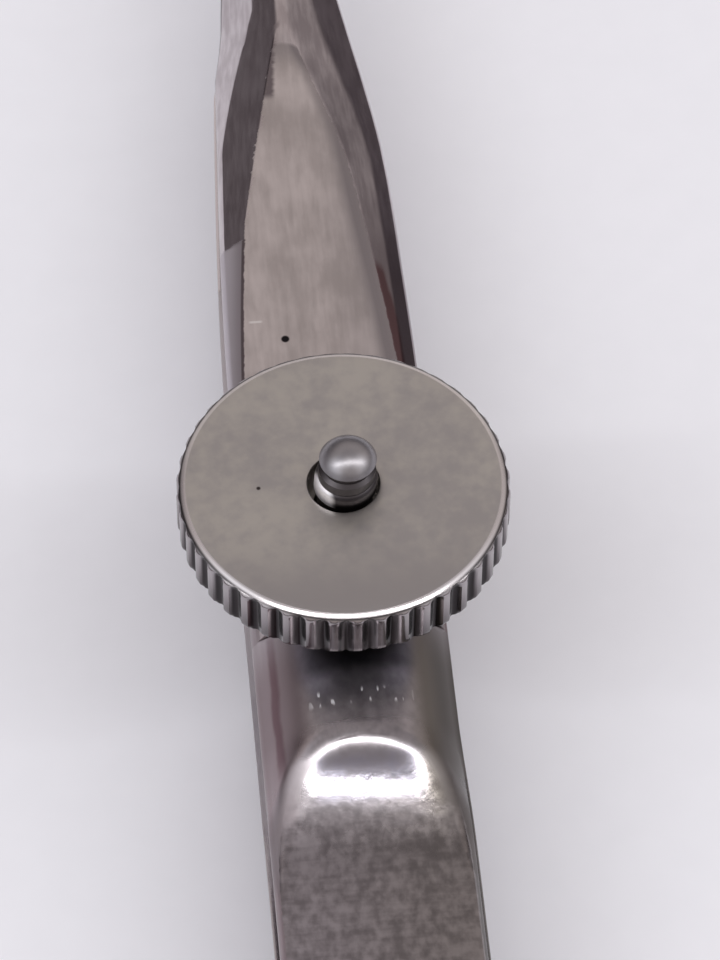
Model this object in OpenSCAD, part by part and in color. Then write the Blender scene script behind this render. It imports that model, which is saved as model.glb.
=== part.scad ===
// Ruling pen of stainless steel: a round bar slit into two blades, a knurled nut on a fixed stud
// that draws them together, and a six-sided handle. Lengths in millimetres.
// +Y points to the nib, +Z to the nut's side. Stations along the pen are measured from the stud.

/* [Blades] */
// diameter of the round bar that the blades are cut from
bar_diameter = 5.1; // [4.6:0.05:5.6]
// distance from the stud to where the nib's taper begins
taper_start = 4; // [2:0.5:6]
// radius of the long arc that tapers the blades to the nib
taper_radius = 165; // [150:5:180]
// width of the slit between the blades at the stud
slit_width = 1.0; // [0.8:0.05:1.2]
// gap between the blades at the nib when the pen is at rest
nib_gap = 0.3; // [0.2:0.02:0.4]
// height of each satin facet above the pen's axis, level with the stud
facet_height = 1.46; // [1.45:0.01:1.55]
// angle by which each facet rises towards the nib
facet_angle = 1.75; // [1.5:0.05:2]
// height of the washer's seat above the pen's axis
seat_height = 1.44; // [1.35:0.01:1.44]
// radius of the washer's round seat
seat_radius = 2.1; // [2.05:0.05:2.5]

/* [Spring section] */
// height of the thinned spring flat above the pen's axis
spring_height = 1.28; // [1.15:0.01:1.4]
// distance behind the stud where the cove leaves the crowned boss
cove_start = 5.8; // [5.2:0.1:6.4]
// radius of the cove next to the boss
cove_radius = 6; // [4:0.5:7]
// radius of the cove next to the heel
heel_cove_radius = 3; // [2:0.5:4]
// width of the full-round collar left in front of the ferrule
collar_width = 1.2; // [0.8:0.1:2]

/* [Heel and ferrule] */
// distance from the stud to the mouth of the ferrule
ferrule_mouth = 21; // [20:0.5:23]
// length of the ferrule's body
ferrule_length = 9; // [8:0.5:11]
// diameter of the ferrule at its mouth
ferrule_mouth_diameter = 6.0; // [5.8:0.1:6.3]
// diameter of the ferrule where it meets the handle
ferrule_rear_diameter = 6.3; // [6.2:0.1:6.6]
// depth of the bore that holds the heels
heel_depth = 7.4; // [6.5:0.1:7.6]
// diameter of the cross pins through the heels
pin_diameter = 1.0; // [0.8:0.1:1.2]
// height of each cross pin above or below the pen's axis
pin_offset = 1.5; // [1.4:0.05:1.6]
// width of the turned groove round the ferrule
groove_width = 0.5; // [0.3:0.1:0.7]
// depth of the turned groove
groove_depth = 0.25; // [0.15:0.05:0.35]
// diameter of the spigot in the handle
spigot_diameter = 4; // [3:0.25:4.5]
// length of the spigot in the handle
spigot_length = 10; // [8:0.5:14]

/* [Handle] */
// distance across the handle's flats
handle_flats = 6.5; // [6.4:0.1:7]
// diameter over the handle's rounded corners
handle_corners = 7.2; // [7.0:0.05:7.4]
// distance from the stud to the handle's rear end
handle_reach = 102; // [95:1:112]
// length of the turned cone at the handle's front
front_cone = 5; // [3:0.5:8]
// length of the turned cone at the handle's rear
rear_cone = 11; // [8:0.5:14]
// diameter of the handle's rear end before its dome
tail_diameter = 4.6; // [4:0.1:5.4]
// height of the dome on the rear end
tail_dome = 0.9; // [0.5:0.1:1.2]

/* [Nut and stud] */
// diameter of the nut over its teeth
nut_diameter = 8.15; // [7.6:0.05:8.6]
// thickness of the knurled disc
nut_thickness = 1.5; // [1.3:0.05:1.8]
// number of straight teeth round the nut
nut_teeth = 44; // [36:1:52]
// depth of the grooves between the teeth
tooth_depth = 0.14; // [0.1:0.01:0.16]
// width of the bevels round the disc's two edges
nut_bevel = 0.16; // [0.1:0.02:0.25]
// diameter of the boss under the disc
boss_diameter = 3.6; // [3.2:0.1:4]
// height of the boss under the disc
boss_height = 1.0; // [0.9:0.05:1.2]
// diameter of the wide part of the nut's hole, seen from above
hole_diameter = 1.75; // [1.6:0.05:2]
// depth of the wide part of the nut's hole
hole_depth = 0.9; // [0.6:0.1:1.1]
// diameter of the stud
stud_diameter = 1.4; // [1.2:0.05:1.5]
// height of the stud's tip above the nut's face
stud_rise = 1.4; // [1:0.05:1.6]
// height of the stud's domed end
stud_dome = 0.42; // [0.3:0.02:0.5]
// depth of the groove under the stud's dome
neck_depth = 0.1; // [0.06:0.02:0.14]
// diameter of the shoulder that seats the stud on the lower blade
shoulder_diameter = 2.4; // [2.1:0.1:2.8]
// height of the shoulder
shoulder_height = 0.35; // [0.25:0.05:0.4]
// diameter of the washer under the nut
washer_diameter = 3.9; // [3.6:0.1:4.1]
// thickness of the washer
washer_thickness = 1.1; // [1.0:0.05:1.3]
// radius of the washer's rounded underside
washer_dome = 8; // [6:0.5:12]

/* [Fits] */
// clearance between pieces that are fixed together
seat_clearance = 0.01; // [0.01:0.01:0.02]
// clearance between the stud and what turns or slides on it
stud_clearance = 0.04; // [0.02:0.01:0.06]
// clearance round the pin on which the upper heel rocks
rock_clearance = 0.03; // [0.02:0.01:0.05]
// room round the upper heel in the ferrule
heel_clearance = 0.13; // [0.12:0.01:0.15]
// clearance round the stud in the upper blade
blade_hole_clearance = 0.3; // [0.2:0.05:0.4]

/* [Hidden] */
$fn = 96;
far = 400;
bar_radius = bar_diameter / 2;
axis_height = handle_flats / 2;
slit_slope = (slit_width - nib_gap) / 2 / 31;
blade_room = 40;
station_shift = (handle_reach - nib_tip()) / 2;
heel_end = ferrule_mouth + heel_depth - 0.1;
heel_middle = ferrule_mouth + heel_depth / 2;
cove_drop = bar_radius - spring_height;
cove_run = sqrt(2 * cove_radius * cove_drop - pow(cove_drop, 2));
heel_cove_run = sqrt(2 * heel_cove_radius * cove_drop - pow(cove_drop, 2));
cove_foot = cove_start + cove_run;
collar_front = ferrule_mouth - heel_clearance - collar_width;
heel_cove_foot = collar_front - heel_cove_run;
boss_bottom = seat_height + washer_thickness + 2 * seat_clearance;
disc_bottom = boss_bottom + boss_height;
disc_top = disc_bottom + nut_thickness;
stud_top = disc_top + stud_rise;
tooth_pitch = 360 / nut_teeth;

// radius of the turned taper at a station in front of the stud
function taper_at(s) = bar_radius - taper_radius
    + sqrt(pow(taper_radius, 2) - pow(s - taper_start, 2));

// thickness left in a blade at a station: the nib's point is where this reaches zero
function blade_left(s) = taper_at(s) - (slit_width / 2 - slit_slope * s);

// station of the nib's point, found by halving
function nib_tip(low = 10, high = blade_room, turns = 24) = turns == 0 ? (low + high) / 2
    : blade_left((low + high) / 2) > 0 ? nib_tip((low + high) / 2, high, turns - 1)
    : nib_tip(low, (low + high) / 2, turns - 1);

// stations and heights from the pen's axis, moved into the part's frame
module on_pen() {
    translate([0, station_shift, axis_height]) children();
}

// a solid turned about the pen's axis from an outline of [radius, station]
module turned() {
    rotate([-90, 0, 0]) mirror([0, 1, 0]) rotate_extrude() children();
}

// a prism right across the pen from an outline of [station, height]
module across(width = 20) {
    rotate([90, 0, 90]) translate([0, 0, -width / 2]) linear_extrude(height = width) children();
}

// a bar along the pen between two stations
module bar(from, to, radius) {
    translate([0, from, 0]) rotate([-90, 0, 0]) cylinder(h = to - from, r = radius);
}

// the round blank of a blade: a straight bar that tapers to the nib in one long arc
module blade_blank(rear) {
    turned() intersection() {
        translate([0, -rear]) square([bar_radius, rear + blade_room]);
        union() {
            translate([0, -rear]) square([bar_radius, rear + taper_start]);
            translate([bar_radius - taper_radius, taper_start]) circle(r = taper_radius, $fn = 720);
        }
    }
}

// what is taken off above the facet, and above the washer's seat at the facet's end
module facet_cut() {
    translate([-10, 0, facet_height]) rotate([facet_angle, 0, 0]) cube([20, 60, 10]);
    translate([0, 0, seat_height]) cylinder(h = 10, r = seat_radius);
}

// the outline above the slit, from the rear of a blade to beyond the nib
module blade_side(rear) {
    polygon([
        [-rear, slit_width / 2],
        [0, slit_width / 2],
        [blade_room, slit_width / 2 - slit_slope * blade_room],
        [blade_room, 10],
        [-rear, 10]
    ]);
}

// the outline that thins the spring, with a cove at each end
module spring_side() {
    intersection() {
        translate([-heel_cove_foot - 10, spring_height]) square([heel_cove_foot - cove_foot + 20, 5]);
        union() {
            translate([-heel_cove_foot, spring_height - 1])
                square([heel_cove_foot - cove_foot, 7]);
            translate([-cove_foot, spring_height + cove_radius - 0.01]) circle(r = cove_radius, $fn = 180);
            translate([-heel_cove_foot, spring_height + heel_cove_radius - 0.01])
                circle(r = heel_cove_radius, $fn = 180);
        }
    }
}

// a hole right across the pen for a cross pin at a height
module pin_hole(height, clearance) {
    translate([-10, -heel_middle, height]) rotate([0, 90, 0])
        cylinder(h = 20, d = pin_diameter + 2 * clearance);
}

// the sprung blade: crowned boss, thinned spring, facet and nib, with a half-round heel on its pin
module upper_blade() {
    shoulder = ferrule_mouth - heel_clearance;
    color("silver") on_pen() difference() {
        union() {
            difference() {
                intersection() {
                    blade_blank(shoulder);
                    across() difference() {
                        blade_side(shoulder);
                        spring_side();
                    }
                }
                facet_cut();
            }
            intersection() {
                bar(-heel_end, -shoulder + 0.2, bar_radius - heel_clearance);
                across() translate([-heel_end, slit_width / 2 + heel_clearance])
                    square([heel_end - shoulder + 0.2, 10]);
            }
        }
        translate([0, 0, -1]) cylinder(h = 10, d = stud_diameter + 2 * blade_hole_clearance);
        pin_hole(pin_offset, rock_clearance);
    }
}

// the rigid blade: the same half bar underneath, full thickness back to its heel
module lower_blade() {
    color("silver") on_pen() difference() {
        mirror([0, 0, 1]) difference() {
            intersection() {
                blade_blank(heel_end);
                across() blade_side(heel_end);
            }
            facet_cut();
        }
        translate([0, 0, -10]) cylinder(h = 20, d = stud_diameter + 2 * seat_clearance);
        translate([0, 0, -seat_height - 0.01])
            cylinder(h = shoulder_height, d1 = shoulder_diameter, d2 = stud_diameter);
        pin_hole(-pin_offset, seat_clearance);
    }
}

// the strip between the two heels
module heel_spacer() {
    color("gray") on_pen() intersection() {
        bar(-heel_end, -ferrule_mouth, bar_radius);
        translate([-10, -heel_end, -slit_width / 2])
            cube([20, heel_end, slit_width]);
    }
}

// the two cross pins, with their ends dressed flush with the ferrule
module heel_pins() {
    taper = (heel_depth / 2 - 0.2) / (ferrule_length - 1.2 - groove_width - 0.2);
    flush = (ferrule_mouth_diameter + taper * (ferrule_rear_diameter - ferrule_mouth_diameter)) / 2;
    color("dimgray") on_pen() intersection() {
        for (side = [-1, 1]) translate([-10, -heel_middle, side * pin_offset]) rotate([0, 90, 0])
            cylinder(h = 20, d = pin_diameter);
        bar(-heel_middle - pin_diameter, -heel_middle + pin_diameter, flush);
    }
}

// the turned collar with a bore for the heels in front and a spigot behind
module ferrule() {
    front = ferrule_mouth_diameter / 2;
    rear = ferrule_rear_diameter / 2;
    back = ferrule_mouth + ferrule_length;
    groove = back - 1.2;
    color("gainsboro") on_pen() difference() {
        turned() polygon([
            [0, -ferrule_mouth - heel_depth],
            [bar_radius + seat_clearance, -ferrule_mouth - heel_depth],
            [bar_radius + seat_clearance, -ferrule_mouth],
            [front - 0.2, -ferrule_mouth],
            [front, -ferrule_mouth - 0.2],
            [rear, -groove + groove_width],
            [rear - groove_depth, -groove + groove_width],
            [rear - groove_depth, -groove],
            [rear, -groove],
            [rear, -back],
            [spigot_diameter / 2, -back],
            [spigot_diameter / 2, -back - spigot_length + 0.4],
            [spigot_diameter / 2 - 0.4, -back - spigot_length],
            [0, -back - spigot_length]
        ]);
        pin_hole(pin_offset, seat_clearance);
        pin_hole(-pin_offset, seat_clearance);
    }
}

// the turned handle with six ground flats that run out on its end cones
module handle() {
    front = ferrule_mouth + ferrule_length + seat_clearance;
    tail = handle_reach - tail_dome;
    tail_ball = (pow(tail_diameter / 2, 2) + pow(tail_dome, 2)) / 2 / tail_dome;
    color("lightgray") on_pen() difference() {
        intersection() {
            turned() intersection() {
                polygon([
                    [0, -front],
                    [ferrule_rear_diameter / 2 - 0.15, -front],
                    [ferrule_rear_diameter / 2, -front - 0.15],
                    [handle_corners / 2, -front - front_cone],
                    [handle_corners / 2, -tail + rear_cone],
                    [handle_corners / 2 - 1.5 * (handle_corners - tail_diameter) / 2, -tail - rear_cone / 2],
                    [0, -tail - rear_cone / 2]
                ]);
                union() {
                    translate([0, -tail + 0.1]) square([handle_corners, tail]);
                    translate([0, -handle_reach + tail_ball]) circle(r = tail_ball);
                }
            }
            translate([0, -front + 1, 0]) rotate([90, 0, 0])
                cylinder(h = far, d = handle_flats / cos(30), $fn = 6);
        }
        bar(-front - spigot_length - 0.5, -front + 1, spigot_diameter / 2 + seat_clearance);
    }
}

// the fixed stud: rivet end, shoulder on the lower blade, plain shank and domed tip
module adjusting_stud() {
    radius = stud_diameter / 2;
    ball = (pow(radius, 2) + pow(stud_dome, 2)) / 2 / stud_dome;
    dome_base = stud_top - stud_dome;
    color("silver") on_pen() union() {
        rotate_extrude() polygon([
            [0, -seat_height],
            [shoulder_diameter / 2 - 0.03, -seat_height],
            [radius, -seat_height + shoulder_height - 0.03],
            [radius, -slit_width / 2],
            [shoulder_diameter / 2, -slit_width / 2],
            [shoulder_diameter / 2, -slit_width / 2 + shoulder_height],
            [radius, -slit_width / 2 + shoulder_height],
            [radius, dome_base - 0.32],
            [radius - neck_depth, dome_base - 0.24],
            [radius - neck_depth, dome_base - 0.08],
            [radius, dome_base],
            [0, dome_base]
        ]);
        intersection() {
            translate([0, 0, stud_top - ball]) sphere(r = ball);
            translate([0, 0, dome_base - 0.02]) cylinder(h = 2, r = radius);
        }
    }
}

// the washer, rounded underneath so that the blade can tilt under it
module nut_washer() {
    bore = stud_diameter / 2 + stud_clearance;
    rise = washer_dome - sqrt(pow(washer_dome, 2) - pow(bore, 2));
    color("silver") on_pen() difference() {
        intersection() {
            translate([0, 0, seat_height + seat_clearance - rise + washer_dome])
                sphere(r = washer_dome);
            translate([0, 0, seat_height - 1])
                cylinder(h = washer_thickness + seat_clearance + 1, d = washer_diameter);
        }
        translate([0, 0, seat_height - 1]) cylinder(h = 4, r = bore);
    }
}

// the knurled disc with bevelled edges, a boss underneath and a stepped hole
module thumb_nut() {
    radius = nut_diameter / 2;
    color("silver") on_pen() translate([0, 0, boss_bottom]) difference() {
        rotate_extrude() polygon([
            [stud_diameter / 2 + stud_clearance, 0],
            [boss_diameter / 2, 0],
            [boss_diameter / 2, boss_height],
            [radius - nut_bevel, boss_height],
            [radius, boss_height + nut_bevel],
            [radius, boss_height + nut_thickness - nut_bevel],
            [radius - nut_bevel, boss_height + nut_thickness],
            [hole_diameter / 2, boss_height + nut_thickness],
            [hole_diameter / 2, boss_height + nut_thickness - hole_depth],
            [stud_diameter / 2 + stud_clearance, boss_height + nut_thickness - hole_depth]
        ]);
        for (turn = [0 : nut_teeth - 1])
            rotate([0, 0, (turn + 0.5) * tooth_pitch]) translate([radius - tooth_depth, 0, boss_height - 1])
                rotate([0, 0, -45]) cube([1, 1, nut_thickness + 2]);
    }
}

lower_blade();
upper_blade();
heel_spacer();
heel_pins();
ferrule();
handle();
adjusting_stud();
nut_washer();
thumb_nut();
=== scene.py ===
import math
import bmesh
import bpy
from mathutils import Matrix, Vector


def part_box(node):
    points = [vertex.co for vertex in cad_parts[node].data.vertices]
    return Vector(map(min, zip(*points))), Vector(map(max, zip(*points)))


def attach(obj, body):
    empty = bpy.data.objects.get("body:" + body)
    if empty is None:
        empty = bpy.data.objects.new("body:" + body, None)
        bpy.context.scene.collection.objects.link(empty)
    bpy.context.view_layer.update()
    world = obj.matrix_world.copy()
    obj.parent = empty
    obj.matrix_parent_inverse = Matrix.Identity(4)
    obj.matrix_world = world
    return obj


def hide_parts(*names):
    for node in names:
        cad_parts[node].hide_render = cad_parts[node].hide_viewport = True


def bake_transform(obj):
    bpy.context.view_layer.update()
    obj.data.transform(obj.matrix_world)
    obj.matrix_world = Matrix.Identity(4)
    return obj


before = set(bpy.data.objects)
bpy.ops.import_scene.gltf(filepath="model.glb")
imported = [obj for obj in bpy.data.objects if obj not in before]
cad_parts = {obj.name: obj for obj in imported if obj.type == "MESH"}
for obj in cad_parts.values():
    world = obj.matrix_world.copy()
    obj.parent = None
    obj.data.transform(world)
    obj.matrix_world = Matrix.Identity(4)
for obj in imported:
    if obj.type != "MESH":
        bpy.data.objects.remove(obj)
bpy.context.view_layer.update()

# Camera: a phone held low over the handle's side, looking down past the nut to the nib.
# The nut's face lies a little left of the middle of the picture.
nut_low, nut_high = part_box("thumb_nut")
handle_low, handle_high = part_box("handle")
pen_axis = Vector((0, (nut_low.y + nut_high.y) / 2, (handle_low.z + handle_high.z) / 2))
nut_face = Vector((0, pen_axis.y, nut_high.z))
view_height = math.radians(54.1)
view_side = math.radians(5.5)
view_roll = math.radians(-0.44)
view_distance = 0.11666
lens_length = 180
sensor_width = 36
picture_height = 960
pixel = view_distance * sensor_width / lens_length / picture_height
shift_right = 16.64 * pixel
shift_up = 2.37 * pixel
back = Vector((
    -math.sin(view_side) * math.cos(view_height),
    -math.cos(view_side) * math.cos(view_height),
    math.sin(view_height),
))
level_right = Vector((math.cos(view_side), -math.sin(view_side), 0))
level_up = back.cross(level_right)
right = level_right * math.cos(view_roll) - level_up * math.sin(view_roll)
up = level_up * math.cos(view_roll) + level_right * math.sin(view_roll)
camera_place = nut_face + back * view_distance + right * shift_right + up * shift_up
camera_data = bpy.data.cameras.new("camera")
camera_data.lens = lens_length
camera_data.sensor_width = sensor_width
camera_data.clip_start = 0.005
camera = bpy.data.objects.new("camera", camera_data)
camera.matrix_world = Matrix((
    (right.x, up.x, back.x, camera_place.x),
    (right.y, up.y, back.y, camera_place.y),
    (right.z, up.z, back.z, camera_place.z),
    (0, 0, 0, 1),
))
bpy.context.scene.collection.objects.link(camera)
bpy.context.scene.camera = camera
bpy.context.scene.view_settings.view_transform = "Standard"


# Paper and light: a sheet of smooth drawing paper, white with a trace of lavender, under one
# long strip lamp almost straight overhead. The room has a pale ceiling, darker walls and a
# window on each side behind the camera.
class Tone:
    """A socket in a material's node tree that takes part in sums written in Python."""

    def __init__(self, tree, socket=None):
        self.tree = tree
        self.socket = socket

    def node(self, kind, settings, sockets, result=0):
        made = self.tree.nodes.new(kind)
        for name, value in settings.items():
            setattr(made, name, value)
        for name, value in sockets.items():
            if isinstance(value, Tone):
                self.tree.links.new(value.socket, made.inputs[name])
            else:
                made.inputs[name].default_value = value
        return Tone(self.tree, made.outputs[result] if made.outputs else None)

    def part(self, name):
        return Tone(self.tree, self.socket.node.outputs[name])

    def maths(self, operation, *values):
        return self.node("ShaderNodeMath", {"operation": operation}, dict(enumerate(values)))

    def ramp(self, low, high):
        limits = {"From Min": low, "From Max": high, "Value": self}
        return self.node("ShaderNodeMapRange", {"interpolation_type": "SMOOTHSTEP"}, limits)

    def mix(self, first, second):
        return self.node("ShaderNodeMix", {"data_type": "RGBA"}, {0: self, 6: first, 7: second}, 2)

    def __add__(self, other):
        return self.maths("ADD", self, other)

    def __sub__(self, other):
        return self.maths("SUBTRACT", self, other)

    def __mul__(self, other):
        return self.maths("MULTIPLY", self, other)

    def __radd__(self, other):
        return self.maths("ADD", other, self)

    def __rsub__(self, other):
        return self.maths("SUBTRACT", other, self)

    def __rmul__(self, other):
        return self.maths("MULTIPLY", other, self)


def new_finish(name):
    finish = bpy.data.materials.new(name)
    finish.use_nodes = True
    finish.node_tree.nodes.clear()
    tone = Tone(finish.node_tree)
    return finish, tone, tone.node("ShaderNodeTexCoord", {}, {}, "Object")


def close_finish(tone, sockets):
    shader = tone.node("ShaderNodeBsdfPrincipled", {}, sockets)
    tone.node("ShaderNodeOutputMaterial", {}, {"Surface": shader})


def grain(tone, place, scale, detail=2.0):
    stretched = tone.node("ShaderNodeMapping", {}, {"Vector": place, "Scale": scale})
    return tone.node("ShaderNodeTexNoise", {}, {"Vector": stretched, "Scale": 1.0, "Detail": detail})


paper_half = 0.7
paper_top = -1e-5
paper_sheet = bmesh.new()
bmesh.ops.create_grid(paper_sheet, x_segments=1, y_segments=1, size=paper_half)
bmesh.ops.translate(paper_sheet, vec=(0, 0, paper_top), verts=paper_sheet.verts)
paper_mesh = bpy.data.meshes.new("paper")
paper_sheet.to_mesh(paper_mesh)
paper_sheet.free()
paper = bpy.data.objects.new("paper", paper_mesh)
bpy.context.scene.collection.objects.link(paper)
paper_white, tone, place = new_finish("paper_white")
mottle = grain(tone, place, (900, 900, 900))
paper_colour = mottle.mix((0.855, 0.865, 0.915, 1), (0.885, 0.895, 0.945, 1))
close_finish(tone, {"Base Color": paper_colour, "Roughness": 0.9, "Specular IOR Level": 0.2})
paper_mesh.materials.append(paper_white)

lamp_distance = 0.5
lamp_lean = math.radians(19.4)
lamp_way = Vector((0.05, -math.sin(lamp_lean), math.cos(lamp_lean)))
lamp_data = bpy.data.lights.new("strip_lamp", "AREA")
lamp_data.shape = "RECTANGLE"
lamp_data.size = 1.4
lamp_data.size_y = 0.045
lamp_data.energy = 2.6
lamp = bpy.data.objects.new("strip_lamp", lamp_data)
lamp.location = nut_face + lamp_way * lamp_distance
lamp.rotation_euler = (-lamp_lean, 0, 0)
bpy.context.scene.collection.objects.link(lamp)

room = bpy.data.worlds.new("room")
room.use_nodes = True
room.node_tree.nodes.clear()
bpy.context.scene.world = room
tone = Tone(room.node_tree)
way = tone.node("ShaderNodeTexCoord", {}, {}, "Generated")
parts = tone.node("ShaderNodeSeparateXYZ", {}, {0: way})
side = parts.part("X")
depth = parts.part("Y")
upward = parts.part("Z")
ceiling_edge = (0.60, 0.545, 0.53, 1)
ceiling_middle = (0.42, 0.385, 0.385, 1)
wall_brown = (0.15, 0.132, 0.14, 1)
corner_brown = (0.105, 0.088, 0.096, 1)
window_white = (1.2, 1.2, 1.25, 1)
ceiling = (upward + 0.18 * side).ramp(0.18, 0.6)
to_side = side.maths("ABSOLUTE", side)
behind = 1 - depth.ramp(-0.1, 0.35)
window_light = 1.05 - 0.5 * side.ramp(-0.3, 0.3)
windows = window_light * to_side.ramp(0.35, 0.65) * behind * upward.ramp(0.15, 0.45)
overhead = upward.ramp(0.74, 0.87).mix(ceiling_edge, ceiling_middle)
far_corner = side.ramp(0.5, 0.7) * depth.ramp(0.3, 0.5)
room_colour = ceiling.mix(far_corner.mix(wall_brown, corner_brown), overhead)
room_colour = windows.mix(room_colour, window_white)
light = tone.node("ShaderNodeBackground", {}, {"Color": room_colour})
tone.node("ShaderNodeOutputWorld", {}, {"Surface": light})


# Lower blade: the rigid half of a slit 5.1 mm steel bar, ground to a long nib, with one satin
# facet underneath and a round seat for the stud's riveted end. Its heel sits in the ferrule.
bar_radius = 2.55
taper_start = 4.0
taper_arc = 165.0
slit_half = 0.5
slit_lean = 0.35 / 31
facet_rise = 1.46
facet_lean = math.tan(math.radians(1.75))
seat_rise = 1.44
seat_radius = 2.1
seat_wall_slope = 25
heel_end = -28.3
nib_end = 32.1
polish_start = -2
polish_full = 2
side_fullness = 1.004


def back_radius(station):
    ahead = max(station - taper_start, 0)
    return bar_radius - taper_arc + math.sqrt(taper_arc ** 2 - ahead ** 2)


def slit_rise(station):
    return slit_half - slit_lean * max(station, 0)


def seat_and_facet(station, side):
    from_stud = math.hypot(station, side)
    pocket = seat_rise + seat_wall_slope * max(from_stud - seat_radius, 0)
    if station < 0:
        return pocket
    return min(pocket, facet_rise + facet_lean * station)


def soft_lower(first, second, width):
    share = max(width - abs(first - second), 0) / width
    return min(first, second) - share * share * width / 4


def spread(pieces):
    stations = [pieces[0][0]]
    for start, end, count in pieces:
        stations += [start + (end - start) * (step + 1) / count for step in range(count)]
    return stations


def eased(value, low, high):
    share = min(max((value - low) / (high - low), 0), 1)
    return share * share * (3 - 2 * share)


def polish(station):
    """How far the round back has given way to polished planes."""
    return eased(station, polish_start, polish_full)


def flank_planes(station, hand, radius):
    """Each plane polished on the blade's flank, as its tilt and its distance from the axis. It was
    done by hand, so the two sides differ, and each plane turns a little between two stations."""
    if hand > 0:
        inner = math.radians(32 - 5.5 * eased(station, 11.5, 17.5))
        outer = math.radians(39 - 4 * eased(station, 12, 15.5))
        inner_far = radius * (0.948 - 0.05 * eased(station, 12.5, 16.5))
        crease = radius * (0.82 - 0.42 * eased(station, 12.8, 19.5))
    else:
        inner = math.radians(39)
        outer = math.radians(50 - 3 * eased(station, 14.5, 17))
        inner_far = radius * (1 - 0.15 * min(max(station - 11, 0) / 7, 1))
        crease = radius * (0.95 - 0.0115 * min(max(station - 12, 0), 6.7) ** 2)
    crease_rise = (inner_far - crease * math.sin(inner)) / math.cos(inner)
    outer_far = crease * math.sin(outer) + crease_rise * math.cos(outer)
    return [(inner, inner_far), (outer, outer_far)]


def crown_reach(level, radius, hand):
    """How far out the full-bellied round back lies at a level, or how high at a distance out."""
    fullness = 2.45 if hand > 0 else 2.3
    return radius * max(1 - (level / radius) ** fullness, 0) ** (1 / fullness)


def back_rise(side, station, hand, radius):
    """How high the back stands at a distance out."""
    planes = flank_planes(station, hand, radius)
    rises = [(distance - side * math.sin(tilt)) / math.cos(tilt) for tilt, distance in planes]
    if side < radius * math.sin(planes[0][0]):
        rises.append(math.sqrt(radius ** 2 - side ** 2))
    crown = crown_reach(min(side, radius), radius, hand)
    return crown + (min(rises) - crown) * polish(station)


def flat_edge(level, station, hand, radius):
    """How far out a flat ground at a level runs before it meets the back."""
    if level >= radius:
        return 0
    planes = flank_planes(station, hand, radius)
    reach = min((distance - level * math.cos(tilt)) / math.sin(tilt) for tilt, distance in planes)
    if level > radius * math.cos(planes[0][0]):
        reach = min(reach, math.sqrt(radius ** 2 - level ** 2))
    crown = crown_reach(level, radius, hand)
    return crown + (reach - crown) * polish(station)


def blade_side(station, hand, radius, slit, ease, narrowed):
    """How far out the blade's side lies. The outer plane cuts it back in front of the nut, and hand
    work drew it in a little more, mostly on the right."""
    polished = polish(station)
    tilt, distance = flank_planes(station, hand, radius)[-1]
    bar_side = math.sqrt(1 - (slit_half / bar_radius) ** 2)
    full = side_fullness * math.sqrt(radius ** 2 - slit ** 2) / bar_side
    cut = min(full, (distance - (slit + ease) * math.cos(tilt)) / math.sin(tilt))
    reach = full + (cut - full) * polished
    if hand < 0:
        return reach - narrowed * (1 - eased(station, 13, 21))
    reach -= narrowed * (1 - polished) * eased(station, -8, -4.5)
    reach *= 1 - 0.035 * polished * (1 - 0.6 * eased(station, 9, 12.5))
    return reach * (1 - 0.22 * eased(station, 13, 22.5))


def wrap_blade(stations, ground, radius_at, rise_at, softness, narrowed=0):
    """A sheet wrapped round the blade's section at each station: ground flat, back, rounded
    shoulder, side and slit face. Each point keeps its distance inside the ground flat's edge."""
    flat_steps = 20
    flank_steps = 20
    shoulder_steps = 5
    side_steps = 2
    slit_steps = 4
    half = flat_steps + flank_steps + shoulder_steps + side_steps + slit_steps
    left_ease = 0.12
    right_ease = 0.06
    merge_distance = 2e-4
    blade = bmesh.new()
    depth_of = blade.verts.layers.float.new("ground_depth")
    bmesh.ops.create_grid(blade, x_segments=2 * half, y_segments=len(stations) - 1, size=1)
    for vert in blade.verts:
        turn = round(vert.co.x * half)
        station = stations[round((vert.co.y + 1) / 2 * (len(stations) - 1))]
        hand = -1 if turn < 0 else 1
        step = abs(turn)
        radius = radius_at(station)
        slit = rise_at(station)
        ease = min(left_ease if hand < 0 else right_ease, 0.2 * (radius - slit))
        side_reach = blade_side(station, hand, radius, slit, ease, narrowed)
        inner_reach = side_reach - ease
        flat_reach = max(min(flat_edge(ground(station, 0), station, hand, radius), inner_reach), 0)
        top = back_rise(inner_reach, station, hand, radius)
        corner = top - ease * math.tan(flank_planes(station, hand, radius)[-1][0])
        foot = corner - ease
        if step <= flat_steps:
            side = flat_reach * step / flat_steps
            rise = back_rise(side, station, hand, radius)
        elif step <= flat_steps + flank_steps:
            side = flat_reach + (inner_reach - flat_reach) * (step - flat_steps) / flank_steps
            rise = back_rise(side, station, hand, radius)
        elif step <= half - side_steps - slit_steps:
            share = (step - flat_steps - flank_steps) / shoulder_steps
            side = side_reach - ease * (1 - share) ** 2
            rise = top * (1 - share) ** 2 + corner * 2 * share * (1 - share) + foot * share ** 2
        elif step <= half - slit_steps:
            share = (step - half + side_steps + slit_steps) / side_steps
            side = side_reach
            rise = foot + (slit - foot) * share
        else:
            side = side_reach * (half - step) / slit_steps
            rise = slit
        if step < half - slit_steps:
            rise = max(soft_lower(rise, ground(station, hand * side), softness(station)), slit)
        vert[depth_of] = flat_reach - side if flat_reach > 0 else -side - 0.05
        vert.co = (hand * side, station, rise)
    bmesh.ops.remove_doubles(blade, verts=blade.verts, dist=merge_distance)
    bmesh.ops.holes_fill(blade, edges=[edge for edge in blade.edges if edge.is_boundary], sides=0)
    return blade


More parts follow.
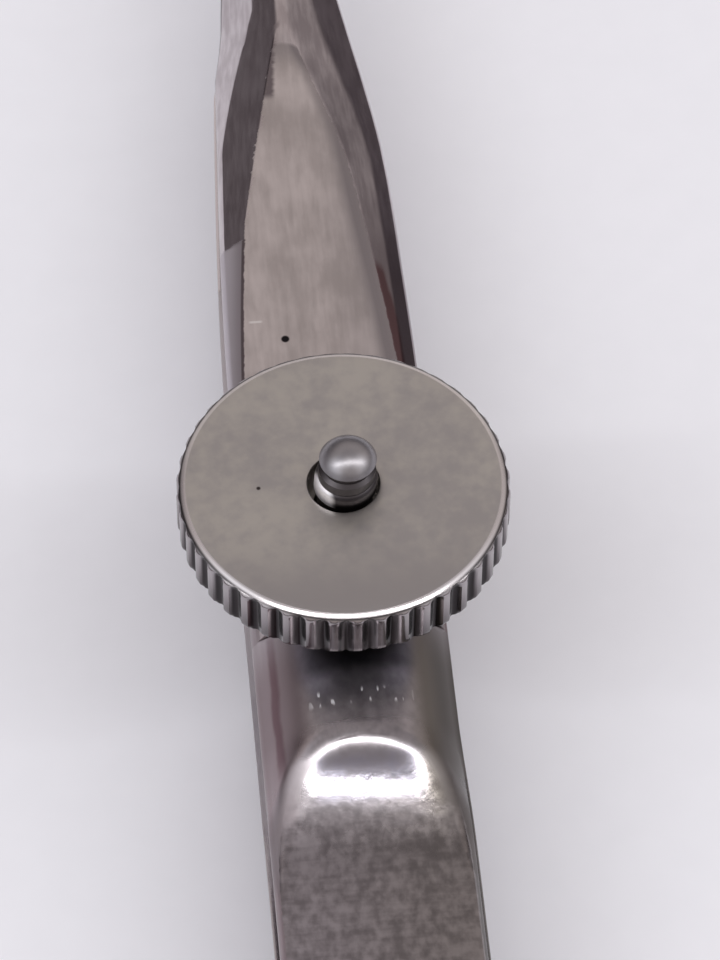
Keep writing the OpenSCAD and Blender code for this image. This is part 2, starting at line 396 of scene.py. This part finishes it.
def about_stud(tone, place):
    """Millimetres to the right, towards the nib and up, from the stud on the pen's axis."""
    from_stud = tone.node("ShaderNodeVectorMath", {"operation": "SUBTRACT"}, {0: place, 1: pen_axis})
    parts = tone.node("ShaderNodeSeparateXYZ", {}, {0: from_stud})
    return [1000 * parts.part(name) for name in "XYZ"]


def millimetres_from(tone, place, centre):
    ends = {0: place, 1: centre}
    return 1000 * tone.node("ShaderNodeVectorMath", {"operation": "DISTANCE"}, ends, "Value")


def spot(tone, place, centre, inner, outer):
    """A round spot on a surface: 1 within the inner radius, 0 beyond the outer one."""
    return 1 - millimetres_from(tone, place, centre).ramp(inner, outer)


def close_steel(tone, tint, roughness, relief, strength, distance=4e-6):
    bump_sockets = {"Strength": strength, "Distance": distance, "Height": relief}
    bump = tone.node("ShaderNodeBump", {}, bump_sockets)
    close_finish(tone, {"Base Color": tint, "Metallic": 1.0, "Roughness": roughness, "Normal": bump})


def put_in_place(work, name, finish, sharp=30):
    """Millimetres about the stud on the pen's axis become metres in the part's own frame."""
    bmesh.ops.recalc_face_normals(work, faces=work.faces)
    to_frame = Matrix.Translation(pen_axis) @ Matrix.Scale(0.001, 4)
    bmesh.ops.transform(work, matrix=to_frame, verts=work.verts)
    mesh = bpy.data.meshes.new(name)
    work.to_mesh(mesh)
    work.free()
    mesh.shade_smooth()
    mesh.set_sharp_from_angle(angle=math.radians(sharp))
    mesh.materials.append(finish)
    piece = bpy.data.objects.new(name, mesh)
    bpy.context.scene.collection.objects.link(piece)
    return piece


blade_steel, tone, place = new_finish("blade_steel")
across, station, height = about_stud(tone, place)
ground_depth = tone.node("ShaderNodeAttribute", {"attribute_name": "ground_depth"}, {}, "Fac")
# Grain of the steel, from fine brush marks to broad clouds.
brushed = grain(tone, place, (7000, 900, 7000), 4.0)
cloud = grain(tone, place, (1100, 700, 1100), 4.0)
blotch = grain(tone, place, (4200, 3000, 4200), 5.0)
ragged = grain(tone, place, (1500, 5500, 1500), 3.0)
scratch = grain(tone, place, (700, 8000, 700), 4.0)
# Where the steel is ground: the facet in front of the nut and the spring flat behind it.
left = 1 - across.ramp(-0.3, 0.3)
ground_edge = ground_depth + 0.04 * (1 - left)
ragged_width = 0.08 + 0.32 * left * station.ramp(9.5, 11)
ground = (ground_edge + ragged_width * (ragged - 0.5)).ramp(-0.02, 0.02)
from_end = station + 0.9 * (across + 0.2) * (across + 0.2)
ground = ground * (1 - from_end.ramp(16.8, 16.95))
rear = 1 - station.ramp(-3.5, 0.0)
spring = ground * (1 - (station + 1.6 * ragged - 0.8).ramp(-8.1, -6.4))
facet = ground * (1 - rear)
# Colours of the facet, the spring flat, the polished front and the back behind the nut.
stroke = 0.3 * brushed + 0.7 * cloud
facet_tint = stroke.ramp(0.3, 0.7).mix((0.49, 0.445, 0.435, 1), (0.69, 0.63, 0.62, 1))
# Painted shade on the facet: darker towards its right edge, across its right side and at its rounded
# front end.
narrowing = station.ramp(11, 16)
near_edge = 1 - (ground_depth * (1 + narrowing)).ramp(0, 0.6)
painted_side_shade = (1 - left) * near_edge * (0.95 - 0.4 * narrowing)
painted_facet_shade = painted_side_shade + 0.3 * across.ramp(0, 1.4) + 0.7 * from_end.ramp(16.0, 16.8)
facet_tint = painted_facet_shade.mix(facet_tint, (0.30, 0.272, 0.28, 1))
scuffed = 0.5 * blotch + 0.32 * cloud + 0.18 * scratch
spring_left = scuffed.ramp(0.36, 0.64).mix((0.215, 0.195, 0.207, 1), (0.36, 0.329, 0.35, 1))
spring_right = scuffed.ramp(0.36, 0.64).mix((0.175, 0.158, 0.156, 1), (0.305, 0.276, 0.272, 1))
spring_tint = across.ramp(-2.2, 2.2).mix(spring_left, spring_right)
streak = 0.5 * brushed + 0.5 * cloud
front_tint = streak.ramp(0.35, 0.65).mix((0.40, 0.36, 0.375, 1), (0.58, 0.535, 0.55, 1))
front_tint = station.ramp(9, 12.5).mix((0.30, 0.262, 0.275, 1), front_tint)
left_tint = streak.ramp(0.35, 0.65).mix((0.44, 0.395, 0.405, 1), (0.61, 0.565, 0.575, 1))
front_tint = left.mix(front_tint, left_tint)
rear_tint = blotch.ramp(0.25, 0.75).mix((0.31, 0.29, 0.305, 1), (0.42, 0.39, 0.41, 1))
topside = height.ramp(0.5, 1.1)
reddened = 1 - (across + 0.5 - 0.5 * station.ramp(-6.4, -5.4)).ramp(-1.7, -1.0)
rear_tint = reddened.mix(rear_tint, (0.33, 0.27, 0.282, 1))
above_slit = height.ramp(0.45, 0.7)
# Painted shade on the right of the back behind the nut: darker on top, darkest along its outer edge.
rear_tint = (topside * across.ramp(1.0, 1.7)).mix(rear_tint, (0.21, 0.19, 0.17, 1))
rear_tint = (above_slit * across.ramp(1.6, 2.1)).mix(rear_tint, (0.12, 0.108, 0.10, 1))
polished_tint = rear.mix(front_tint, rear_tint)
tint = spring.mix(facet.mix(polished_tint, facet_tint), spring_tint)
# Painted reflection of a blotched dark core in the cove, a duller band on its rims (darker on the
# right), ink on both flanks and satin on the left one.
wide = across.maths("ABSOLUTE", across)
painted_cove_core = rear * station.ramp(-7.2, -6.8) * (1 - station.ramp(-6.2, -5.8))
painted_cove_core = painted_cove_core * (1 - wide.ramp(1.0, 1.5))
tint = (painted_cove_core * (1.4 * blotch)).mix(tint, (0.30, 0.29, 0.345, 1))
rim_haze = rear * topside * station.ramp(-9.4, -8.4) * (1 - station.ramp(-6.4, -5.6)) * (1 - spring)
rim_haze = rim_haze * ground_depth.ramp(-0.45, -0.15) * (1 - ground_depth.ramp(0.1, 0.4))
haze_tint = left.mix((0.20, 0.182, 0.178, 1), (0.35, 0.32, 0.335, 1))
tint = (0.7 * rim_haze).mix(tint, haze_tint)
smear = across + 0.2 * cloud - 0.1
ink_left = rear * smear.ramp(-2.13, -2.05) * (1 - smear.ramp(-1.97, -1.85)) * station.ramp(-6.6, -5.6)
tint = (0.9 * ink_left).mix(tint, (0.20, 0.125, 0.14, 1))
ink_right = (1 - rear) * (1 - left) * (1 - ground) * (1 - (station + 2 * cloud).ramp(9.8, 10.6))
ink_right = ink_right * (ground_depth + 0.2 * cloud).ramp(-0.22, -0.1)
tint = (0.85 * ink_right).mix(tint, (0.15, 0.075, 0.08, 1))
satin_flank = (1 - rear) * (1 - ground) * left * (1 - (station + 0.5 * ragged).ramp(10.55, 10.75))
flank_tint = ground_depth.ramp(-0.5, -0.05).mix((0.58, 0.54, 0.57, 1), (0.36, 0.32, 0.335, 1))
# Painted shade: a dark line on the flank along the facet's left edge.
flank_tint = ground_depth.ramp(-0.1, -0.06).mix(flank_tint, (0.15, 0.12, 0.125, 1))
tint = satin_flank.mix(tint, flank_tint)
facet_end = across - 0.081 * station + 0.3 * ragged
ground_away = station.ramp(14.9, 15.2) * (1 - facet_end.ramp(-1.68, -1.54))
ground_away = ground_away * ground_depth.ramp(-0.06, -0.02)
tint = ground_away.mix(tint, (0.21, 0.18, 0.19, 1))
# Painted shade as a dark line along the left edge just above the slit, and painted light that makes the
# slit faces a pale strip.
from_slit = height.maths("ABSOLUTE", height) - slit_half
from_slit = from_slit + slit_lean * station.maths("MAXIMUM", station, 0)
painted_edge_shade = left * from_slit.ramp(0.03, 0.05) * (1 - from_slit.ramp(0.13, 0.18))
tint = painted_edge_shade.mix(tint, (0.10, 0.085, 0.09, 1))
painted_slit_light = 1 - from_slit.ramp(0.015, 0.04)
tint = painted_slit_light.mix(tint, (0.80, 0.765, 0.79, 1))
# A pit, a nick, painted glints and painted shade near the nut, and dents at the cove's right end.
pit_place = Vector((-0.00087, pen_axis.y + 0.0071, pen_axis.z + 0.00167))
pit = spot(tone, place, pit_place, 0.08, 0.13)
tint = pit.mix(tint, (0.02, 0.018, 0.02, 1))
nick_way = station - 7.7
nick = 1 - nick_way.maths("ABSOLUTE", nick_way).ramp(0.02, 0.05)
nick = nick * across.ramp(-1.8, -1.7) * (1 - across.ramp(-1.48, -1.38))
tint = nick.mix(tint, (0.85, 0.82, 0.81, 1))
# Painted highlight: white ticks on the crown in front of the nut, for the nut's knurl glinting in the
# polish.
ticks = grain(tone, place, (7500, 1500, 900), 1.0)
painted_knurl_glints = ticks.ramp(0.605, 0.65) * (1 - wide.ramp(1.0, 1.4))
painted_knurl_glints = painted_knurl_glints * station.ramp(-4.8, -4.65) * (1 - station.ramp(-4.4, -4.25))
tint = painted_knurl_glints.mix(tint, (0.92, 0.91, 0.93, 1))
# Painted shade: a dark patch on the crown round the washer, under the nut.
painted_nut_shade = rear * topside * station.ramp(-4.05, -3.5) * (1 - wide.ramp(0.9, 1.7))
tint = (0.8 * painted_nut_shade).mix(tint, (0.05, 0.045, 0.05, 1))
dent_place = Vector((0.0016, pen_axis.y - 0.00725, pen_axis.z + 0.00182))
dents = spot(tone, place, dent_place, 0.15, 0.5) * blotch
# How dull each area is, and its relief.
worn_cove = rear * station.ramp(-8.2, -7.7) * (1 - station.ramp(-6.6, -6.1))
dulled = rear * (0.08 + 0.22 * wide.ramp(1.35, 1.85)) * station.ramp(-7.5, -5.6)
dulled = dulled + 0.12 * rear * station.ramp(-5.7, -5.0) * topside
dulled = dulled + 0.34 * wide.ramp(1.4, 1.8) * (1 - station.ramp(-7.6, -6.6)) * topside * (1 - spring)
dulled = dulled + 0.09 * worn_cove * (1 - station.ramp(-7.2, -6.5)) * (1 - spring)
dulled = dulled + 0.2 * rim_haze
spring_rough = (0.2 + 0.25 * blotch) * (1 - 0.45 * station.ramp(-9.6, -8.0))
roughness = 0.07 + facet * (0.25 + 0.1 * brushed) + spring * spring_rough + dulled
roughness = roughness + 0.4 * satin_flank + 0.25 * painted_knurl_glints + 0.05 * cloud
relief = facet * 0.8 * brushed + spring * 0.8 * blotch + 0.05 * cloud - pit + 8 * dents
relief = relief + worn_cove * (3.5 * blotch + 5 * cloud)
close_steel(tone, tint, roughness, relief, 0.3)

lower_narrowed = 0.05
crisp_edge = 0.03
lower_work = wrap_blade(
    spread([(heel_end, -4, 14), (-4, 0, 40), (0, 4, 12), (4, 20, 80), (20, nib_end, 36)]),
    seat_and_facet, back_radius, slit_rise, lambda station: crisp_edge, lower_narrowed,
)
bmesh.ops.scale(lower_work, vec=(1, 1, -1), verts=lower_work.verts)
lower_blade = put_in_place(lower_work, "lower_blade_dressed", blade_steel)
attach(lower_blade, "pen")
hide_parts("lower_blade")


# Adjusting stud: a fine-threaded pin turned from bright steel, riveted into the lower blade
# against its shoulder, with a domed tip and a narrow groove under the dome.
stud_radius = 0.7
shoulder_radius = 1.2
shoulder_top = -0.15
stud_top = 6.46
dome_rise = 0.42
neck_radius = stud_radius - 0.1
thread_pitch = 0.35
thread_depth = 0.07
thread_top = 3.6
thread_end = 0.77
crest_half = 0.04
rivet_radius = 1.12
stud_steps = 72
lean_start = 4.2
tip_lean = 0.06


def turned(outline, steps, closed, along):
    """An outline of [radius, length] pairs turned right round the pen's axis or the stud's."""
    work = bmesh.new()
    points = []
    for radius, length in outline:
        points.append(work.verts.new((radius, length, 0) if along == "pen" else (radius, 0, length)))
    edges = [work.edges.new(pair) for pair in zip(points, points[1:])]
    if closed:
        edges.append(work.edges.new((points[-1], points[0])))
    way = (0, 1, 0) if along == "pen" else (0, 0, 1)
    bmesh.ops.spin(
        work, geom=points + edges, cent=(0, 0, 0), axis=way, angle=2 * math.pi, steps=steps,
        use_merge=True,
    )
    bmesh.ops.remove_doubles(work, verts=work.verts, dist=1e-4)
    bmesh.ops.recalc_face_normals(work, faces=work.faces)
    return work


def ease_edges(work, offset, angle=25, segments=3):
    limit = math.radians(angle)
    sharp = [edge for edge in work.edges if edge.is_manifold and edge.calc_face_angle() > limit]
    bmesh.ops.bevel(
        work, geom=sharp, offset=offset, offset_type="OFFSET", affect="EDGES", segments=segments,
        profile=0.5, material=-1, clamp_overlap=True,
    )


def dome(radius, rise, tip, way):
    """The outline of a domed end from its rim to its tip. Way is 1 where the tip lies highest."""
    ball = (radius ** 2 + rise ** 2) / 2 / rise
    leans = [math.asin(radius / ball) * (1 - step / 8) for step in range(9)]
    return [(ball * math.sin(lean), tip - way * (ball - ball * math.cos(lean))) for lean in leans]


dome_base = stud_top - dome_rise
stud_outline = [
    (0, -seat_rise - 0.03), (0.9, -seat_rise - 0.015), (rivet_radius, -seat_rise),
    (stud_radius, -seat_rise + 0.3), (stud_radius, -slit_half), (shoulder_radius, -slit_half),
    (shoulder_radius, shoulder_top), (stud_radius, shoulder_top),
]
for turn in range(int((thread_top - shoulder_top) / thread_pitch)):
    crest = shoulder_top + thread_pitch * (turn + 0.5)
    stud_outline += [(stud_radius, crest - crest_half), (stud_radius, crest + crest_half)]
    stud_outline += [(stud_radius - thread_depth, crest + thread_pitch / 2)]
below_dome_outline = [
    (stud_radius, 1.14), (thread_end, 1.06), (thread_end, 0.74), (thread_end - 0.01, 0.69),
    (thread_end - 0.03, 0.65), (stud_radius, 0.62), (stud_radius, 0.34), (neck_radius, 0.26),
    (neck_radius, 0.09), (stud_radius - 0.02, 0.05),
]
stud_outline += [(radius, dome_base - below) for radius, below in below_dome_outline]
stud_outline += dome(stud_radius, dome_rise, stud_top, 1)
stud_work = turned(stud_outline, stud_steps, False, "stud")
for vert in stud_work.verts:
    vert.co.x += tip_lean * max(vert.co.z - lean_start, 0)

bright_steel, tone, place = new_finish("bright_steel")
haze = grain(tone, place, (1500, 1500, 1500), 3.0)
fine = grain(tone, place, (9000, 9000, 9000), 2.0)
across, station, height = about_stud(tone, place)
at_stud = station.ramp(-5, -4)
# Painted shade: the stud under its dome, down into the nut's hole, is near black.
below_dome = at_stud * (1 - height.ramp(dome_base - 0.07, dome_base - 0.03))
stud_tint = haze.ramp(0.3, 0.7).mix((0.28, 0.27, 0.285, 1), (0.37, 0.355, 0.37, 1))
bright_tint = haze.ramp(0.3, 0.7).mix((0.52, 0.50, 0.50, 1), (0.60, 0.58, 0.575, 1))
bright_tint = at_stud.mix(bright_tint, stud_tint)
bright_tint = below_dome.mix(bright_tint, (0.075, 0.068, 0.072, 1))
# Painted highlight: a bright crescent on the front left of the thread's last turn.
painted_crescent = 1 - (across + 0.45 * station).ramp(-0.68, -0.55)
painted_crescent = below_dome * painted_crescent * height.ramp(4.9, 5.0) * (1 - height.ramp(5.42, 5.46))
bright_tint = painted_crescent.mix(bright_tint, (0.95, 0.93, 0.95, 1))
bright_rough = 0.26 + 0.10 * haze + 0.06 * fine + 0.2 * painted_crescent
close_steel(tone, bright_tint, bright_rough, fine, 0.15, 3e-6)

adjusting_stud = put_in_place(stud_work, "adjusting_stud_dressed", bright_steel)
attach(adjusting_stud, "pen")
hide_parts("adjusting_stud")


# Heel spacer: a strip of the bar's own steel between the two heels, inside the ferrule's bore.
# Only its front end shows, at the bottom of the slit.
heel_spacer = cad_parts["heel_spacer"]
heel_spacer.data.materials.clear()
heel_spacer.data.materials.append(blade_steel)


# Upper blade: the sprung half of the bar, with a crowned boss round the nut, a cove that steps
# down to a thinned satin spring, and a heel that is held in the ferrule by a cross pin.
boss_rear = -3.5
spring_rise = 1.28
cove_start = -5.62
cove_radius = 6.0
heel_cove_radius = 3.0
collar_front = -19.67
shoulder = -20.87
heel_clearance = 0.13
cove_skew = 0.087
skew_room = 0.5
upper_narrowed = 0.13
hole_radius = 1.0
cove_drop = bar_radius - spring_rise
cove_foot = cove_start - math.sqrt(2 * cove_radius * cove_drop - cove_drop ** 2)
heel_cove_foot = collar_front + math.sqrt(2 * heel_cove_radius * cove_drop - cove_drop ** 2)


def spring_and_facet(station, side):
    if station > boss_rear:
        return seat_and_facet(station, side)
    if station + skew_room > cove_foot:
        along = min(max(station + cove_skew * side - cove_foot, 0), cove_radius * 0.99)
        return spring_rise + cove_radius - math.sqrt(cove_radius ** 2 - along ** 2)
    if station > heel_cove_foot:
        return spring_rise
    along = min(heel_cove_foot - station, heel_cove_radius)
    return spring_rise + heel_cove_radius - math.sqrt(heel_cove_radius ** 2 - along ** 2)


def upper_radius(station):
    return back_radius(station) - (heel_clearance if station < shoulder else 0)


def upper_slit(station):
    return slit_rise(station) + (heel_clearance if station < shoulder else 0)


def rim_softness(station):
    if station > boss_rear:
        return crisp_edge
    return 0.3 + 0.14 * (1 - eased(station, -6.7, -5.9)) - 0.36 * (1 - eased(station, -9.6, -7.6))


upper_work = wrap_blade(
    spread([
        (heel_end, shoulder - 0.002, 3), (shoulder - 0.002, shoulder + 0.002, 1),
        (shoulder + 0.002, -17, 26), (-17, -10, 14), (-10, -4.8, 86), (-4.8, -3, 8), (-3, -2.2, 12),
        (-2.2, 0, 10), (0, 4, 12), (4, 20, 80), (20, nib_end, 36),
    ]),
    spring_and_facet, upper_radius, upper_slit, rim_softness, upper_narrowed,
)
upper_blade = put_in_place(upper_work, "upper_blade_dressed", blade_steel)
drill_work = bmesh.new()
bmesh.ops.create_cone(
    drill_work, segments=64, radius1=hole_radius, radius2=hole_radius, depth=8, cap_ends=True
)
drill = put_in_place(drill_work, "stud_hole_drill", blade_steel)
stud_hole = upper_blade.modifiers.new("stud_hole", "BOOLEAN")
stud_hole.object = drill
stud_hole.operation = "DIFFERENCE"
stud_hole.solver = "EXACT"
bpy.context.view_layer.update()
drilled = upper_blade.evaluated_get(bpy.context.evaluated_depsgraph_get())
drilled_mesh = bpy.data.meshes.new_from_object(drilled)
upper_blade.modifiers.clear()
upper_blade.data = drilled_mesh
bpy.data.objects.remove(drill)
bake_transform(upper_blade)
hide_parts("upper_blade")


# Ferrule: a collar turned from bright steel, bored for the two heels, with a groove at its rear
# and a spigot that is driven into the handle.
ferrule_radius = 3.15
ferrule_front = -21
ferrule_rear = -30
bore_radius = 2.56
bore_end = -28.4
groove_radius = 2.9
groove_front = -28.3
groove_rear = -28.8
spigot_radius = 2
spigot_end = -40
round_steps = 96
ferrule_outline = [
    (0, bore_end), (bore_radius, bore_end), (bore_radius, ferrule_front), (2.8, ferrule_front),
    (3.0, ferrule_front - 0.2), (ferrule_radius, groove_front), (groove_radius, groove_front),
    (groove_radius, groove_rear), (ferrule_radius, groove_rear), (ferrule_radius, ferrule_rear),
    (spigot_radius, ferrule_rear), (spigot_radius, spigot_end + 0.4),
    (spigot_radius - 0.4, spigot_end), (0, spigot_end),
]
ferrule_work = turned(ferrule_outline, round_steps, False, "pen")
ease_edges(ferrule_work, 0.05)
ferrule = put_in_place(ferrule_work, "ferrule_dressed", bright_steel)
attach(ferrule, "pen")
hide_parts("ferrule")


# Heel pins: two drawn steel pins right across the ferrule, one through each heel, with their
# ends dressed flush and faintly domed.
pin_station = -24.7
pin_rise = 1.5
pin_radius = 0.5
collar_radius = 3.085
pin_length = 2 * math.sqrt(collar_radius ** 2 - pin_rise ** 2) + 0.3
pin_work = bmesh.new()
for rise in (-pin_rise, pin_rise):
    lie = Matrix.Translation((0, pin_station, rise)) @ Matrix.Rotation(math.pi / 2, 4, "Y")
    bmesh.ops.create_cone(
        pin_work, segments=32, radius1=pin_radius, radius2=pin_radius, depth=pin_length,
        cap_ends=True, matrix=lie,
    )
ease_edges(pin_work, 0.12)
heel_pins = put_in_place(pin_work, "heel_pins_dressed", bright_steel)
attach(heel_pins, "pen")
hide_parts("heel_pins")


# Handle: a steel bar turned with a cone at each end and a domed tail, then ground with six
# satin flats that run out on the cones. It is bored for the ferrule's spigot.
handle_front = -30.01
handle_tail = -102.0
socket_radius = 2.01
socket_end = handle_front - 10.5
front_cone = 5
tail_cone = 11
tail_dome = 0.9
tail_radius = 2.3
corner_radius = 3.6
flat_count = 6
flat_distance = 3.25
handle_outline = [
    (0, socket_end), (socket_radius, socket_end), (socket_radius, handle_front), (3.0, handle_front),
    (ferrule_radius, handle_front - 0.15), (corner_radius, handle_front - front_cone),
    (corner_radius, handle_tail + tail_dome + tail_cone),
]
handle_outline += dome(tail_radius, tail_dome, handle_tail, -1)
handle_work = turned(handle_outline, round_steps, False, "pen")
for turn in range(flat_count):
    lean = math.radians(360 / flat_count * turn)
    facing = Vector((math.sin(lean), 0, math.cos(lean)))
    everything = handle_work.verts[:] + handle_work.edges[:] + handle_work.faces[:]
    cut = bmesh.ops.bisect_plane(
        handle_work, geom=everything, dist=1e-5, plane_co=facing * flat_distance, plane_no=facing,
        clear_outer=True,
    )
    rim = [edge for edge in cut["geom_cut"] if isinstance(edge, bmesh.types.BMEdge)]
    bmesh.ops.holes_fill(handle_work, edges=rim, sides=0)
bmesh.ops.recalc_face_normals(handle_work, faces=handle_work.faces)
ease_edges(handle_work, 0.05, 12, 2)

handle_steel, tone, place = new_finish("handle_steel")
lengthwise = grain(tone, place, (9000, 350, 9000), 3.0)
haze = grain(tone, place, (500, 250, 500), 3.0)
handle_tint = haze.ramp(0.3, 0.7).mix((0.54, 0.52, 0.515, 1), (0.60, 0.575, 0.565, 1))
handle_rough = 0.22 + 0.14 * lengthwise + 0.06 * haze
close_steel(tone, handle_tint, handle_rough, lengthwise, 0.25)

handle = put_in_place(handle_work, "handle_dressed", handle_steel, 20)
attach(handle, "pen")
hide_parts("handle")


# Nut washer: a thick turned washer between the nut and the upper blade, rounded underneath so
# that the blade can tilt under it.
washer_radius = 1.95
washer_bore = 0.74
washer_bottom = 1.45
washer_top = 2.55
washer_dome = 8.0
dome_drop = washer_dome - math.sqrt(washer_dome ** 2 - washer_bore ** 2)
washer_outline = []
for step in range(7):
    out = washer_bore + (washer_radius - washer_bore) * step / 6
    lift = washer_dome - math.sqrt(washer_dome ** 2 - out ** 2) - dome_drop
    washer_outline.append((out, washer_bottom + lift))
washer_outline += [(washer_radius, washer_top), (washer_bore, washer_top)]
washer_work = turned(washer_outline, stud_steps, True, "stud")
ease_edges(washer_work, 0.06)
nut_washer = put_in_place(washer_work, "nut_washer_dressed", bright_steel)
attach(nut_washer, "washer")
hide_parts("nut_washer")


# Thumb nut: a turned disc with a boss underneath and a stepped hole, its edge cut with straight
# knurling, its two rims bevelled and its face left satin; rims and underside carry painted shade and
# light.
nut_bottom = 2.56
nut_radius = 4.075
nut_height = 2.5
boss_radius = 1.8
boss_height = 1.0
thread_radius = 0.74
mouth_radius = 0.875
mouth_depth = 0.9
nut_teeth = 44
tooth_steps = 12
tooth_depth = 0.14
tooth_round = 0.02
groove_share = 0.34
groove_power = 1.6
land_share = 0.23
knurl_inside = 3.8
run_out_share = 0.62
run_out_start = nut_bottom + 2.25
run_out_end = nut_bottom + 2.43
nut_profile = [
    (thread_radius, 0), (1.74, 0), (boss_radius, 0.06), (boss_radius, boss_height), (3.83, boss_height),
    (3.97, 1.05), (4.035, 1.12), (4.065, 1.2), (nut_radius, 1.3), (nut_radius, 1.74),
    (nut_radius, 2.2), (nut_radius, 2.3), (4.072, 2.324), (4.067, 2.339), (4.06, 2.353),
    (4.05, 2.368), (4.04, 2.38), (4.025, 2.395), (4.01, 2.4075), (3.99, 2.422), (3.97, 2.434),
    (3.91, 2.466), (3.85, 2.498), (3.84, nut_height), (3.6, nut_height), (2.4, nut_height),
    (1.1, nut_height), (0.95, nut_height), (0.9, 2.485), (mouth_radius, 2.45),
    (mouth_radius, nut_height - mouth_depth), (thread_radius, nut_height - mouth_depth),
]
nut_outline = [(radius, nut_bottom + rise) for radius, rise in nut_profile]
nut_work = turned(nut_outline, nut_teeth * tooth_steps, True, "stud")
for vert in nut_work.verts:
    radius = math.hypot(vert.co.x, vert.co.y)
    if radius < knurl_inside:
        continue
    share = (math.atan2(vert.co.y, vert.co.x) / (2 * math.pi) * nut_teeth) % 1
    from_groove = abs(share - 0.5) / groove_share
    run_out = 1 - run_out_share * eased(vert.co.z, run_out_start, run_out_end)
    groove = tooth_depth * run_out * (1 - min(from_groove, 1) ** groove_power)
    land = tooth_round * (1 - min(min(share, 1 - share) / land_share, 1) ** 2)
    cut = min(radius, nut_radius - groove - tooth_round + land)
    vert.co.x *= cut / radius
    vert.co.y *= cut / radius

nut_steel, tone, place = new_finish("nut_steel")
fine = grain(tone, place, (7000, 7000, 7000), 3.0)
cloud = grain(tone, place, (420, 420, 420), 3.0)
mottle = 0.5 * cloud + 0.5 * grain(tone, place, (2600, 2600, 2600), 4.0)
station, height = about_stud(tone, place)[1:]
height = height - nut_bottom
flat_place = tone.node("ShaderNodeVectorMath", {"operation": "MULTIPLY"}, {0: place, 1: (1, 1, 0)})
nut_centre = Vector((pen_axis.x, pen_axis.y, 0))
radius = millimetres_from(tone, flat_place, nut_centre)
face = 1 - radius.ramp(3.83, 3.87)
face_tint = mottle.ramp(0.35, 0.65).mix((0.45, 0.43, 0.425, 1), (0.56, 0.535, 0.50, 1))
# Painted shade: the face darker towards its front edge.
painted_front_shade = 1 - station.ramp(-3.6, -1.2)
face_tint = painted_front_shade.mix(face_tint, (0.405, 0.385, 0.385, 1))
shade_side = 1 - height.ramp(0.98, 1.06)
# Painted shade: the knurl's lands dark at the bottom and light at the top.
land_tint = height.ramp(1.1, 2.3).mix((0.15, 0.135, 0.14, 1), (0.40, 0.37, 0.38, 1))
# Painted highlight: the top bevel much lighter on the nut's far side.
away = station.ramp(-0.5, 2.0)
bevel = height.ramp(2.38, 2.42)
land_tint = bevel.mix(land_tint, away.mix((0.64, 0.61, 0.62, 1), (0.95, 0.90, 0.87, 1)))
land = radius.ramp(3.98, 4.05) + height.ramp(2.42, 2.46)
rim_tint = land.mix((0.035, 0.03, 0.032, 1), land_tint)
# Painted shade: the underside near black towards the boss, lighter at the rim.
underside = radius.ramp(2.65, 3.15).mix((0.02, 0.018, 0.02, 1), (0.42, 0.42, 0.47, 1))
nut_tint = shade_side.mix(face.mix(rim_tint, face_tint), underside)
speck = spot(tone, flat_place, nut_centre + Vector((-0.00207, 0, 0)), 0.03, 0.07)
nut_tint = speck.mix(nut_tint, (0.06, 0.05, 0.05, 1))
nut_rough = 0.16 + face * (0.18 + 0.06 * fine) + 0.06 * cloud + 0.3 * away * bevel * (1 - face)
close_steel(tone, nut_tint, nut_rough, face * fine, 0.2)

thumb_nut = put_in_place(nut_work, "thumb_nut_dressed", nut_steel, 35)
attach(thumb_nut, "nut")
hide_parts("thumb_nut")
